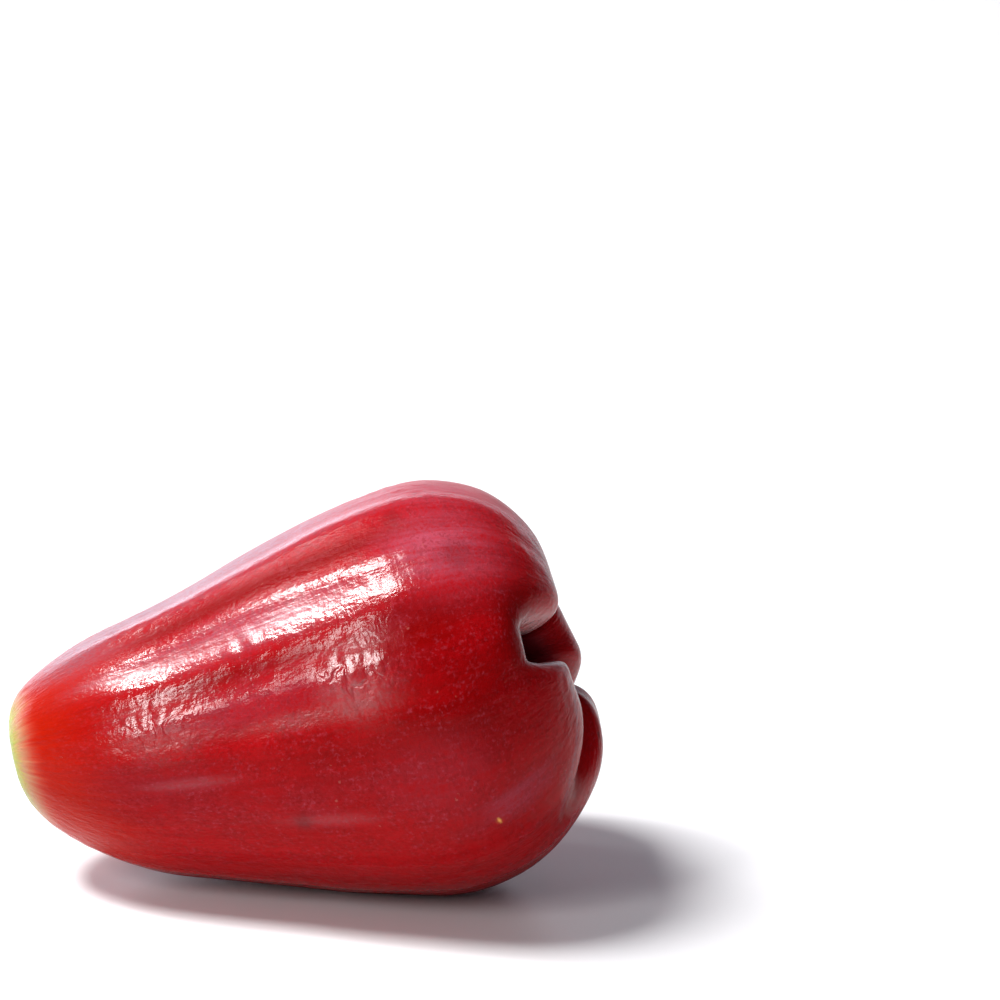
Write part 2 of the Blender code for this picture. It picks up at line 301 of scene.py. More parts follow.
class StudioSettings(bpy.types.PropertyGroup):
    """Camera, lights and floor."""

    distance: FloatProperty(
        name="Distance", description="From the camera to the fruit", default=0.5184, unit="LENGTH"
    )
    azimuth: FloatProperty(
        name="Azimuth", description="Camera's turn round the fruit in degrees", default=-2.3
    )
    elevation: FloatProperty(
        name="Elevation", description="Camera's height above the horizon in degrees", default=14.0
    )
    roll: FloatProperty(
        name="Roll", description="Camera's turn about its own line of sight in degrees", default=1.65
    )
    aim_right: FloatProperty(
        name="Aim right", description="How far to the right of the fruit the camera aims", default=0.02893,
        unit="LENGTH",
    )
    aim_up: FloatProperty(
        name="Aim up", description="How far above the fruit's middle the camera aims", default=0.0274,
        unit="LENGTH",
    )
    lens: FloatProperty(
        name="Lens", description="Focal length on a sensor 36 mm wide", default=124.2, unit="CAMERA"
    )
    sun: FloatProperty(
        name="Overhead light", description="Strength of the broad light from above", default=3.6
    )
    sun_angle: FloatProperty(
        name="Overhead light's breadth", description="Breadth of the overhead light in degrees", default=18.0
    )
    key_power: FloatProperty(
        name="Key light", description="Power of the small light that gives the streaks", default=1.45,
        unit="POWER",
    )
    window_power: FloatProperty(
        name="Window", description="Power of the tall light on the front left", default=1.5, unit="POWER"
    )
    rear_power: FloatProperty(
        name="Rear light", description="Power of the soft light high up behind on the left", default=0.28,
        unit="POWER",
    )
    ambient: FloatProperty(
        name="Ambient", description="Strength of the even light from all sides", default=0.11
    )
    backdrop: FloatProperty(
        name="Backdrop", description="Strength of the light from behind, low down", default=3.4
    )
    floor_colour: FloatVectorProperty(
        name="Floor", description="Colour of the floor",
        subtype="COLOR", size=3, min=0.0, max=1.0, default=(0.88, 0.88, 0.89),
    )


def natural_spline(knots, values, at):
    """Cubic through the values at the knots, with no bend at either end."""
    knots, values, at = (np.asarray(x, float) for x in (knots, values, at))
    span = np.diff(knots)
    slope = np.diff(values, axis=0) / span.reshape(-1, *[1] * (values.ndim - 1))
    system = np.eye(len(knots))
    right = np.zeros(values.shape)
    for i in range(1, len(knots) - 1):
        system[i, i - 1 : i + 2] = span[i - 1], 2 * (span[i - 1] + span[i]), span[i]
        right[i] = 6 * (slope[i] - slope[i - 1])
    bend = np.linalg.solve(system, right)
    i = np.clip(np.searchsorted(knots, at) - 1, 0, len(knots) - 2)
    spread = at.shape + (1,) * (values.ndim - 1)
    t = (at - knots[i]).reshape(spread)
    width = span[i].reshape(spread)
    curve = slope[i] - width * (2 * bend[i] + bend[i + 1]) / 6
    return values[i] + t * curve + t**2 * bend[i] / 2 + t**3 * (bend[i + 1] - bend[i]) / (6 * width)


def smooth_step(x, low, high):
    """0 below low and 1 above high, with an even curve between them."""
    t = np.clip((x - low) / (high - low), 0, 1)
    return t * t * (3 - 2 * t)


def hump(x, middle, width):
    """Rounded hump: 1 at the middle, falling off as a bell curve of that width."""
    return np.exp(-(((x - middle) / width) ** 2))


def waves(points, length, seed, count=28):
    """Uneven field of about unit height: a sum of cosines.

    Their directions, lengths and phases are drawn from a seed.
    """
    draw = np.random.default_rng(seed)
    way = draw.normal(size=(count, 3))
    way *= (2 * np.pi / length * draw.uniform(0.7, 1.4, count) / np.linalg.norm(way, axis=1))[:, None]
    phase = draw.uniform(0, 2 * np.pi, count)
    return np.cos(points @ way.T + phase).sum(axis=-1) * np.sqrt(2 / count)


def line_lengths():
    """Each meridian point's distance from the stem scar along the line, in millimetres."""
    steps = np.hypot(*np.diff(np.array(BODY_LINE + LOBE_LINE), axis=0).T)
    return np.concatenate([[0.0], np.cumsum(steps)])


def ridge_relief(angle, along):
    """Sum of rounded ridges, which die out towards the stem end and wander a little along their way."""
    relief = np.zeros(np.shape(angle))
    for number, (centre, height) in enumerate(RIDGES):
        wander = 0.7 * np.sin(along / 11.0 + 2.4 * number) + 0.3 * np.sin(along / 4.7 + 1.7 * number)
        swell = 1 + 0.12 * np.sin(along / 8.0 + 3.1 * number)
        away = np.mod(np.degrees(angle) - centre - wander + 180, 360) - 180
        relief += height * swell * hump(away, 0, RIDGE_WIDTH)
    return (relief - RIDGE_MEAN) * smooth_step(along, RIDGES_START, RIDGES_FULL)


def fruit_surface(share, angle):
    """Points of the fruit about its own axis in millimetres, and the height of the ridges there.

    Each meridian is the lobe line and the notch line blended by how full the lobe is at that angle. The
    ridges are added to the radius, the lobes lean, the section is a little oval and the axis a little bent.
    """
    knots = line_lengths()
    knots /= knots[-1]
    lobe_line = natural_spline(knots, BODY_LINE + LOBE_LINE, share)
    notch_line = natural_spline(knots, BODY_LINE + NOTCH_LINE, share)
    notch_angle, notch_floor, notch_depth, notch_lean, notch_side, notch_foot = np.array(NOTCHES).T
    notch_angle, notch_floor, notch_lean = (np.radians(x) for x in (notch_angle, notch_floor, notch_lean))
    lobe_rise, lobe_slant, lobe_reach, lobe_swelling = np.array(LOBES).T

    edges = np.append(notch_angle - notch_angle[0], 2 * np.pi)
    turned = np.mod(angle - notch_angle[0], 2 * np.pi)
    lobe = np.clip(np.searchsorted(edges, turned, side="right") - 1, 0, len(LOBES) - 1)
    half = (edges[lobe + 1] - edges[lobe]) / 2
    place = turned - edges[lobe] - half
    nearest = np.where(place < 0, lobe, (lobe + 1) % len(NOTCHES))
    away = half - np.abs(place)

    along = lobe_line[..., 0]
    floor = notch_floor[nearest] * smooth_step(along, FLOOR_START, CREST_START)
    inward = np.clip((away - floor) / (half - floor), 0, 1)
    inward = inward**2 * (1 + notch_foot[nearest]) / (inward + notch_foot[nearest])
    parting = smooth_step(along, PARTING_START, PARTING_END)
    fullness = 1 - (1 - inward) ** (ROUNDED_SIDE + (notch_side[nearest] - ROUNDED_SIDE) * parting)
    blend = 1 - notch_depth[nearest] * (1 - fullness)
    line = notch_line + (lobe_line - notch_line) * blend[..., None]

    throat = 1 - smooth_step(share, knots[THROAT_POINT], knots[FLOOR_POINT])
    tip = smooth_step(share, knots[CREST_POINT], knots[TIP_POINT]) * throat
    outside = 1 - smooth_step(share, knots[SHOULDER_POINT], knots[BROW_POINT])
    ridges = ridge_relief(angle, along) * outside
    crest = lobe_rise[lobe] + lobe_slant[lobe] * place / half
    axial = line[..., 0] + crest * fullness * smooth_step(along, PARTING_START, CREST_START)
    swelling = lobe_swelling[lobe] * fullness * hump(along, SWELLING_AT, SWELLING_WIDTH) * outside
    radius = line[..., 1] - lobe_reach[lobe] * fullness * tip + ridges + swelling
    lean = notch_lean[nearest] * fullness * hump(away, 0, np.radians(LEAN_WIDTH))
    angle = angle + lean * parting * throat
    oval = np.cos(2 * (angle - np.radians(OVAL_ANGLE))) * smooth_step(axial, OVAL_START, OVAL_FULL)
    radius = radius * (1 + OVAL * oval)
    rise = natural_spline(BEND_AT, BEND_RISE, np.clip(axial, 0, BEND_AT[-1]))
    points = np.stack([axial, -radius * np.sin(angle), radius * np.cos(angle) + rise], -1)
    return points, ridges


def tilt_up(points):
    """Turn points about Y so that the calyx end rises by the tilt."""
    tilt = np.radians(TILT)
    x, y, z = np.moveaxis(points, -1, 0)
    return np.stack([x * np.cos(tilt) - z * np.sin(tilt), y, x * np.sin(tilt) + z * np.cos(tilt)], -1)


def sector_angles(column, crowding):
    """Angle of each column, from its share of the turn, with the columns crowded towards the notches."""
    edges = np.radians([notch[0] for notch in NOTCHES])
    edges = np.append(edges, edges[0] + 2 * np.pi)
    even = edges[0] + 2 * np.pi * column
    sector = column * len(NOTCHES)
    whole = np.minimum(np.floor(sector), len(NOTCHES) - 1).astype(int)
    part = sector - whole
    part = part - np.sin(2 * np.pi * part) / (2 * np.pi)
    crowded = edges[whole] + (edges[whole + 1] - edges[whole]) * part
    return even + (crowded - even) * crowding


def cad_offset():
    """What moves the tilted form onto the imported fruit, in millimetres.

    Its box is centred, and its belly reaches below the surface by the depth of the flat.
    """
    low, high = (np.array(corner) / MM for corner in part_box("fruit"))
    share, column = np.meshgrid(np.linspace(0, 1, 400), np.linspace(0, 1, 720, endpoint=False), indexing="ij")
    points = tilt_up(fruit_surface(share, 2 * np.pi * column)[0]).reshape(-1, 3)
    middle = (points.min(axis=0) + points.max(axis=0)) / 2
    offset = (low + high) / 2 - middle
    offset[2] = -FLAT_DEPTH - points[:, 2].min()
    return offset


def outward(points):
    """Unit normals of a closed grid: the cross product of the steps along a ring and from ring to ring."""
    across = np.roll(points, -1, axis=1) - np.roll(points, 1, axis=1)
    down = np.gradient(points, axis=0)
    normal = np.cross(across, down)
    return normal / np.maximum(np.linalg.norm(normal, axis=-1, keepdims=True), 1e-12)


def tube_faces(rings, columns, start=0):
    """Faces of a closed tube: rings of quads, and a fan of triangles on each end's middle point.

    The points are numbered ring by ring from start, and the two middle points follow them.
    """
    ring = np.arange(rings - 1)[:, None] * columns
    column = np.arange(columns)[None, :]
    after = (column + 1) % columns
    quads = np.stack([ring + column, ring + after, ring + columns + after, ring + columns + column], -1)
    first, last = rings * columns, rings * columns + 1
    end = (rings - 1) * columns
    column, after = column[0], after[0]
    caps = [
        np.stack([np.full(columns, first), after, column], -1),
        np.stack([np.full(columns, last), end + column, end + after], -1),
    ]
    return (quads.reshape(-1, 4) + start).tolist() + (np.concatenate(caps) + start).tolist()


def add_piece(name, points, faces, material, node):
    """Put a mesh, whose points are in millimetres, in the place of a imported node."""
    mesh = bpy.data.meshes.new(name)
    mesh.from_pydata((np.asarray(points) * MM).tolist(), [], faces)
    mesh.shade_smooth()
    mesh.materials.append(material)
    piece = bpy.data.objects.new(name, mesh)
    bpy.context.scene.collection.objects.link(piece)
    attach(piece, "root")
    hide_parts(node)
    return piece


def set_vectors(piece, name, vectors):
    """Keep three numbers for each point of a piece, for its material to read."""
    attribute = piece.data.attributes.new(name, "FLOAT_VECTOR", "POINT")
    attribute.data.foreach_set("vector", np.asarray(vectors, np.float32).ravel())


def fine_relief(way, along, settings):
    """Height in millimetres of what is finer than the ridges, to be raised along the normal.

    Broad lumps, short crosswise wrinkles in patches, a small raised ring and fibres at the stem scar, and
    folds in the cavity.
    """
    knots = line_lengths()
    outside = 1 - smooth_step(along, knots[CREST_POINT] - 4, knots[BROW_POINT])
    body = smooth_step(along, 3, 12) * outside
    lumps = settings.lump_height * waves(way, LUMP_LENGTH, 3) * body
    patches = smooth_step(waves(way, WRINKLED_PATCH_LENGTH, 5), -0.2, 1.4)
    crosswise = waves(way * [0.65, 0.65, 1.0], WRINKLE_LENGTH, 7)
    wrinkles = settings.wrinkle_height * crosswise * patches * body
    scar = SCAR_RING_HEIGHT * hump(along, SCAR_RING_AT, 0.8) - SCAR_DEPTH * hump(along, 0.0, 1.4)
    fibres = FIBRE_HEIGHT * waves(way * [1.0, 1.0, 0.3], FIBRE_LENGTH, 11) * hump(along, 0.0, 3.0)
    inside = smooth_step(along, knots[TIP_POINT], knots[THROAT_POINT])
    inside = inside * (1 - smooth_step(along / knots[-1], 0.97, 1.0))
    folds = FOLD_HEIGHT * waves(way * [1.0, 1.0, 0.2], FOLD_LENGTH, 13) * inside
    return lumps + wrinkles + scar + fibres + folds


def mark(angle, along, marks):
    """Sum of soft oval marks on the skin, each flat in its middle."""
    total = np.zeros(np.shape(angle))
    for middle, place, wide, long, strength in marks:
        away = np.mod(np.degrees(angle) - middle + 180, 360) - 180
        total += strength * np.exp(-(((away / wide) ** 2 + ((along - place) / long) ** 2) ** 1.5))
    return total


def spot(angle, along, spots):
    """Sum of small round marks."""
    return mark(angle, along, [
        (middle, place, np.degrees(radius / PATTERN_RADIUS), radius, strength)
        for middle, place, radius, strength in spots
    ])


def marks_together(angle, along, *kinds):
    """The sums of several kinds of marks, side by side as the parts of one vector."""
    return np.stack([mark(angle, along, kind) for kind in kinds], -1)


def bloom_and_sheen_strength(angle, along):
    """How pale the skin is: soft blooms with painted sheen along the top edge, and a painted highlight along
    the near lobe's edge, which fades at both ends.
    """
    edge_angle, edge_place = np.array(PAINTED_EDGE_HIGHLIGHT).T
    round_degrees = np.mod(np.degrees(angle), 360)
    edge = natural_spline(edge_angle, edge_place, np.clip(round_degrees, edge_angle[0], edge_angle[-1]))
    ends = smooth_step(round_degrees, *EDGE_HIGHLIGHT_STARTS) * (1 - smooth_step(round_degrees, *EDGE_HIGHLIGHT_FADES))
    return EDGE_HIGHLIGHT_STRENGTH * hump(along, edge, EDGE_HIGHLIGHT_WIDTH) * ends + mark(angle, along, BLOOMS_AND_SHEENS)


def make_skin(settings):
    """The whole outside of the fruit with the calyx lobes and the cavity, closed at both ends."""
    rings, columns = settings.rings, settings.columns
    ring_share = np.linspace(0, 1, rings + 2)[1:-1]
    share = np.interp(ring_share, RING_SHARE, LINE_SHARE)
    share, column = np.meshgrid(share, np.linspace(0, 1, columns, endpoint=False), indexing="ij")
    angle = sector_angles(column, RIM_CROWDING * smooth_step(share, *CROWDING_SPAN))
    points, ridges = fruit_surface(share, angle)
    poles = fruit_surface(np.array([0.0, 1.0]), np.array([0.0, 0.0]))[0]

    knots = line_lengths()
    along = share * knots[-1]
    way = np.stack([PATTERN_RADIUS * np.cos(angle), PATTERN_RADIUS * np.sin(angle), along], -1)
    points = points + outward(points) * fine_relief(way, along, settings)[..., None]
    points = np.concatenate([points.reshape(-1, 3), poles])
    points = tilt_up(points) + cad_offset()
    points[:, 2] = np.maximum(points[:, 2], 0)
    piece = add_piece(
        "fruit_skin", points, tube_faces(rings, columns), skin_material(settings), "fruit"
    )

    inside = smooth_step(along, knots[BROW_POINT] - 1.0, knots[FLOOR_POINT])
    spots = [spot(angle, along, DARK_SPOTS), spot(angle, along, PALE_SPOTS), mark(angle, along, GLOSSY)]
    no_marks = [[0, 0, 0], [0, 0, 0]]
    layers = {
        "skin_way": (way, [[0, 0, 0], [0, 0, knots[-1]]]),
        "skin_form": (np.stack([ridges, inside, bloom_and_sheen_strength(angle, along)], -1), [[0, 0, 0], [0, 1, 0]]),
        "skin_marks": (marks_together(angle, along, PAINTED_SHEENS, PAINTED_SHADES, POLISHED), no_marks),
        "skin_spots": (np.stack(spots, -1), no_marks),
    }
    for name, (vectors, at_poles) in layers.items():
        set_vectors(piece, name, np.concatenate([vectors.reshape(-1, 3), at_poles]))


def cavity_frame():
    """Origin on the cavity's floor in millimetres, and the fruit's own axes there: two across, one out."""
    tilt = np.radians(TILT)
    out = np.array([np.cos(tilt), 0.0, np.sin(tilt)])
    side = np.array([0.0, 1.0, 0.0])
    down = np.cross(side, out)
    floor = LOBE_LINE[-1][0] + CAVITY_GAP
    rise = float(natural_spline(BEND_AT, BEND_RISE, np.array([floor]))[0])
    origin = tilt_up(np.array([floor, 0.0, rise])) + cad_offset()
    return origin, np.stack([down, side, out])


def make_stamens(settings):
    """Ring of dry stamen ends: a low uneven band, with tapered filaments that stand on it and curl."""
    origin, axes = cavity_frame()
    draw = np.random.default_rng(21)
    count, sections, sides = settings.filaments, 7, 5
    turn = 2 * np.pi * (np.arange(count) + draw.uniform(-0.3, 0.3, count)) / count
    length = settings.filament_length * draw.uniform(0.35, 1.0, count)
    spread = draw.uniform(-0.5, 0.35, count)
    sway = draw.uniform(-0.6, 0.6, count)
    root = settings.ring_radius + draw.uniform(-0.5, 0.5, count)

    t = np.linspace(0, 1, sections)[None, :]
    reach = root[:, None] + length[:, None] * spread[:, None] * t**1.6
    swing = turn[:, None] + sway[:, None] * length[:, None] * t**1.5 / settings.ring_radius
    upright = np.sqrt(1 - np.minimum(0.5 * (spread**2 + sway**2), 0.6))
    height = FILAMENT_FOOT + length[:, None] * t * upright[:, None]
    centre = np.stack([reach * np.cos(swing), reach * np.sin(swing), height], -1)
    thick = FILAMENT_RADIUS * (1 - 0.75 * t) + 0.05 * hump(t, 1.0, 0.12)
    around = 2 * np.pi * np.arange(sides) / sides
    wide = np.stack([np.cos(swing), np.sin(swing), np.zeros_like(swing)], -1)
    deep = np.stack([-np.sin(swing), np.cos(swing), np.zeros_like(swing)], -1)
    rim = np.cos(around)[:, None] * wide[:, :, None, :] + np.sin(around)[:, None] * deep[:, :, None, :]
    tubes = centre[:, :, None, :] + thick[..., None, None] * rim
    tubes = tubes.reshape(count, -1, 3)
    tubes = np.concatenate([tubes, centre[:, :1], centre[:, -1:]], axis=1)

    columns, sides_of_band = 180, 10
    bend = 2 * np.pi * np.arange(columns) / columns
    section = 2 * np.pi * np.arange(sides_of_band) / sides_of_band
    uneven = 1 + 0.22 * np.sin(31 * bend) * np.sin(7 * bend + 1) + 0.12 * np.sin(53 * bend + 2)
    band_radius = settings.ring_radius + BAND_HALF_WIDTH * uneven[:, None] * np.cos(section)
    band_height = BAND_MIDDLE + BAND_HALF_HEIGHT * uneven[:, None] * np.sin(section)
    band = np.stack(
        [band_radius * np.cos(bend)[:, None], band_radius * np.sin(bend)[:, None], band_height], -1
    ).reshape(-1, 3)
    ring = np.arange(columns)[:, None]
    side = np.arange(sides_of_band)[None, :]
    next_ring, next_side = (ring + 1) % columns, (side + 1) % sides_of_band
    band_faces = np.stack(
        [
            ring * sides_of_band + side, next_ring * sides_of_band + side,
            next_ring * sides_of_band + next_side, ring * sides_of_band + next_side,
        ], -1,
    ).reshape(-1, 4)
    start = len(band)
    faces = band_faces.tolist()
    for number in range(count):
        faces += tube_faces(sections, sides, start + number * tubes.shape[1])
    local = np.concatenate([band, tubes.reshape(-1, 3)])
    points = origin + local @ axes
    piece = add_piece(
        "dry_stamens", points, faces, dry_material("dry_stamen", settings), "stamen_ring"
    )
    dryness = np.clip(local[:, 2] / (settings.filament_length + 0.5), 0, 1)
    set_vectors(piece, "dry_form", np.outer(dryness, [1, 0, 0]))


def make_style(settings):
    """Dry style: a slim bent stub that narrows, with lengthwise furrows and a small swollen end."""
    origin, axes = cavity_frame()
    rings, columns = 40, 24
    t, around = np.meshgrid(
        np.linspace(0, 1, rings), 2 * np.pi * np.arange(columns) / columns, indexing="ij"
    )
    width = STYLE_RADIUS - 0.45 * smooth_step(t, 0, 0.6) + 0.14 * hump(t, 0.93, 0.05)
    width *= np.sqrt(np.clip(1 - ((t - 0.5) / 0.502) ** 16, 0, 1))
    width *= 1 + 0.07 * np.cos(7 * around + 3 * t)
    lean = STYLE_LEAN * t**2
    points = np.stack(
        [width * np.cos(around) + lean, width * np.sin(around), settings.style_height * t], -1
    ).reshape(-1, 3)
    ends = [[0, 0, 0], [STYLE_LEAN, 0, settings.style_height]]
    local = np.concatenate([points, ends])
    piece = add_piece(
        "dry_style", origin + local @ axes, tube_faces(rings, columns),
        dry_material("dry_style", settings), "style",
    )
    dryness = np.clip(local[:, 2] / settings.style_height, 0, 1)
    set_vectors(piece, "dry_form", np.outer(dryness, [1, 0, 0]))


class Pattern:
    """One output in a material's node tree. An expression on patterns adds its Math nodes."""

    def __init__(self, tree, socket):
        self.tree = tree
        self.socket = socket

    @classmethod
    def node(cls, tree, kind, settings=None, sockets=None, output=0):
        """Add a node of a kind, with its settings first and then the values or links of its sockets."""
        made = tree.nodes.new(kind)
        for name, value in (settings or {}).items():
            if name == "stops":
                ramp = made.color_ramp
                while len(ramp.elements) > 1:
                    ramp.elements.remove(ramp.elements[-1])
                ramp.elements[0].position, ramp.elements[0].color = value[0][0], (*value[0][1], 1)
                for position, colour in value[1:]:
                    ramp.elements.new(position).color = (*colour, 1)
            else:
                setattr(made, name, value)
        for key, value in (sockets or {}).items():
            if isinstance(value, Pattern):
                tree.links.new(value.socket, made.inputs[key])
            else:
                made.inputs[key].default_value = value
        return cls(tree, made.outputs[output])

    def math(self, operation, *others):
        """One Math node on this pattern and the others."""
        sockets = dict(enumerate([self, *others]))
        return self.node(self.tree, "ShaderNodeMath", {"operation": operation}, sockets)

    def at_most(self, limit):
        """This value, or the limit where that is smaller."""
        return self.math("MINIMUM", limit)

    def __add__(self, other):
        return self.math("ADD", other)

    def __mul__(self, other):
        return self.math("MULTIPLY", other)

    __radd__, __rmul__ = __add__, __mul__

    def __sub__(self, other):
        return self.math("SUBTRACT", other)

    def __rsub__(self, other):
        return self.math("MULTIPLY_ADD", -1.0, other)

    def __truediv__(self, other):
        return self.math("DIVIDE", other)

    def __rtruediv__(self, other):
        return self.math("POWER", -1.0) * other

    def step(self, low, high):
        """0 below low and 1 above high, with an even curve between them."""
        return self.node(
            self.tree, "ShaderNodeMapRange", {"interpolation_type": "SMOOTHSTEP"},
            {0: self, 1: low, 2: high, 3: 0.0, 4: 1.0},
        )

    def bell(self, middle, width):
        """1 at the middle, falling off on both sides over about the width."""
        away = (self - middle) / width
        return 1 / (1 + away * away * away * away)

    def part(self, number):
        """One of a vector's three numbers."""
        return self.node(self.tree, "ShaderNodeSeparateXYZ", {}, {0: self}, number)

    def stretched(self, x, y, z):
        """A vector with its parts multiplied."""
        sockets = {0: self, 1: (x, y, z)}
        return self.node(self.tree, "ShaderNodeVectorMath", {"operation": "MULTIPLY"}, sockets)

    def noise(self, scale, detail=2.0, roughness=0.5, distortion=0.0):
        """Soft noise over this vector, from 0 to 1."""
        sockets = {
            "Vector": self, "Scale": scale, "Detail": detail, "Roughness": roughness, "Distortion": distortion
        }
        return self.node(self.tree, "ShaderNodeTexNoise", {}, sockets)

    def cells(self, scale):
        """Distance from the nearest of many scattered points."""
        return self.node(self.tree, "ShaderNodeTexVoronoi", {}, {"Vector": self, "Scale": scale})

    def over(self, factor, top):
        """This colour with another laid over it by a factor."""
        return self.node(
            self.tree, "ShaderNodeMix", {"data_type": "RGBA"}, {0: factor, 6: self, 7: top}, 2
        )


def colour(values):
    """Three numbers of a setting as a colour with its alpha."""
    return (*values, 1.0)


def new_material(name):
    """Material with only a Principled shader and its output. Returns it with its tree and shader node."""
    material = bpy.data.materials.new(name)
    material.use_nodes = True
    tree = material.node_tree
    return material, tree, tree.nodes["Principled BSDF"]


def set_shader(tree, shader, values):
    """Values and links of the shader's own sockets."""
    for name, value in values.items():
        if isinstance(value, Pattern):
            tree.links.new(value.socket, shader.inputs[name])
        else:
            shader.inputs[name].default_value = value


class SkinPatterns:
    """What the skin's layers share: its own coordinates, its form, the marks on it, and noises over it."""

    def __init__(self, tree):
        way, form, marks, spots = (
            Pattern.node(tree, "ShaderNodeAttribute", {"attribute_name": name}, output=1)
            for name in ("skin_way", "skin_form", "skin_marks", "skin_spots")
        )
        self.way, self.along = way, way.part(2)
        self.ridge, self.inside, self.bloom_and_sheen = (form.part(number) for number in range(3))
        self.haze, self.shade, self.polished = (marks.part(number) for number in range(3))
        self.dark_spot, self.pale_spot, self.gloss = (spots.part(number) for number in range(3))
        self.broad = way.stretched(1, 1, 0.4).noise(0.060, 2.0)
        self.streaks = way.stretched(1, 1, 0.07).noise(0.75, 4.0, 0.6)
        self.mottle = way.stretched(1, 1, 0.6).noise(0.32, 5.0, 0.65)
        self.grain = way.noise(1.6, 3.0, 0.6)


def skin_colour(tree, skin, settings):
    """Streaked crimson with painted pink sheen, painted deep red shade in the furrows and round the notches,
    and lilac bloom with painted sheen and a painted edge highlight. It turns orange, tan and green at the
    stem end; in the cavity its walls are painted dark as shade and its floor is pale.
    """
    along, broad, streaks, mottle, grain = skin.along, skin.broad, skin.streaks, skin.mottle, skin.grain
    crimson = Pattern.node(tree, "ShaderNodeRGB")
    crimson.socket.default_value = colour(settings.crimson)

    # Darker random streaks, and painted shade where the ridges dip into furrows and in the painted shade
    # marks
    streaks_and_furrow_shade = (streaks * 0.5 + broad * 0.5 + mottle * 0.3 - skin.ridge * 0.15).step(0.58, 0.86) * 0.55
    red = crimson.over((streaks_and_furrow_shade + skin.shade).at_most(1.0), colour(settings.deep_red))
    freckles = skin.way.stretched(1, 1, 0.8).noise(1.9, 3.0, 0.6).step(0.50, 0.72)
    # Pink: painted sheen where the lights' soft reflections spread, with blush in the mottles and freckles
    sheen_and_blush = skin.haze * (streaks.step(0.35, 0.65) * 0.45 + mottle * 0.35 + grain.step(0.38, 0.62) * 0.5)
    sheen_and_blush = sheen_and_blush + (broad + mottle * 0.5).step(0.78, 1.05) * 0.10 + freckles * mottle.step(0.35, 0.62) * 0.30
    red = red.over(sheen_and_blush.at_most(0.9), colour(settings.blush_and_sheen))
    dark_grain = grain.step(0.44, 0.62) * (0.22 + mottle.step(0.35, 0.6) * 0.33)
    red = red.over(dark_grain, colour(settings.deep_red))

    uneven = along + (streaks - 0.5) * 9.0 + (broad - 0.5) * 14.0
    red = red.over((1 - uneven.step(13.0, 36.0)) * 0.85, colour(settings.ember))
    stem_stops = [
        (0.0, (0.035, 0.10, 0.012)),
        (0.10, (0.06, 0.17, 0.015)),
        (0.30, tuple(settings.stem_green)),
        (0.50, (0.34, 0.34, 0.06)),
        (0.66, (0.42, 0.20, 0.10)),
        (0.84, (0.44, 0.07, 0.04)),
        (1.0, tuple(settings.ember)),
    ]
    stem_place = (along + (streaks - 0.5) * 4.0 + (broad - 0.5) * 4.0) / 16.0
    stem = Pattern.node(tree, "ShaderNodeValToRGB", {"stops": stem_stops}, {0: stem_place})
    red = red.over(1 - (along + (streaks - 0.5) * 4.0).step(10.0, 16.0), stem)

    specks = 1 - skin.way.cells(0.33).step(0.05, 0.11)
    red = red.over(specks * grain.step(0.5, 0.6) * 0.25, SPECK_PINK)
    red = red.over(skin.dark_spot, BLEMISH_BROWN)
    red = red.over(skin.pale_spot, BLEMISH_ORANGE)
    # Cavity: its walls are painted dark as shade, and its floor is pale cream flesh
    flesh_and_cavity_shade_stops = [
        (0.0, (0.17, 0.002, 0.006)),
        (0.55, (0.09, 0.003, 0.008)),
        (0.80, (0.16, 0.04, 0.03)),
        (0.92, (0.40, 0.26, 0.10)),
        (1.0, tuple(settings.cavity_cream)),
    ]
    flesh_place = skin.inside + (mottle - 0.5) * 0.2
    flesh = Pattern.node(tree, "ShaderNodeValToRGB", {"stops": flesh_and_cavity_shade_stops}, {0: flesh_place})
    red = red.over(skin.inside.step(0.02, 0.35), flesh)
    # Pale lilac: wax bloom with painted sheen on the top edge, and a painted highlight on the near lobe's
    # edge
    return red.over(skin.bloom_and_sheen * (0.50 + grain.step(0.35, 0.62) * 0.45), BLOOM_AND_SHEEN_LILAC)


def skin_bump(tree, skin):
    """Crinkles in millimetres: short strokes, raised blocks and cracks where polished, and long feathers."""
    way, polished = skin.way, skin.polished
    strokes = way.stretched(0.6, 0.6, 1.0).noise(0.95, 2.0, 0.5, 0.7)
    blocks = way.stretched(0.8, 0.8, 1.0).noise(0.40, 1.0, 0.4)
    cracks = way.stretched(0.7, 0.7, 1.0).noise(0.26, 2.0, 0.5).bell(0.5, 0.03)
    blotches = way.stretched(1.0, 1.0, 0.45).noise(0.80, 3.0, 0.55)
    patch = way.noise(0.09, 1.0).step(0.42, 0.62)
    feathers = way.stretched(1.0, 1.0, 0.18).noise(1.1, 3.0, 0.6)
    calm = 1 - (skin.haze + polished * 0.6).at_most(1.0) * 0.6
    height = (
        strokes * (0.03 + patch * 0.05) * calm + (blocks * 0.48 - cracks * 0.06 + strokes * 0.02) * polished
        + blotches * 0.16 * calm + feathers * 0.10 * skin.haze + skin.grain * 0.04
    )
    return Pattern.node(tree, "ShaderNodeBump", {}, {"Strength": 1.0, "Distance": MM, "Height": height})


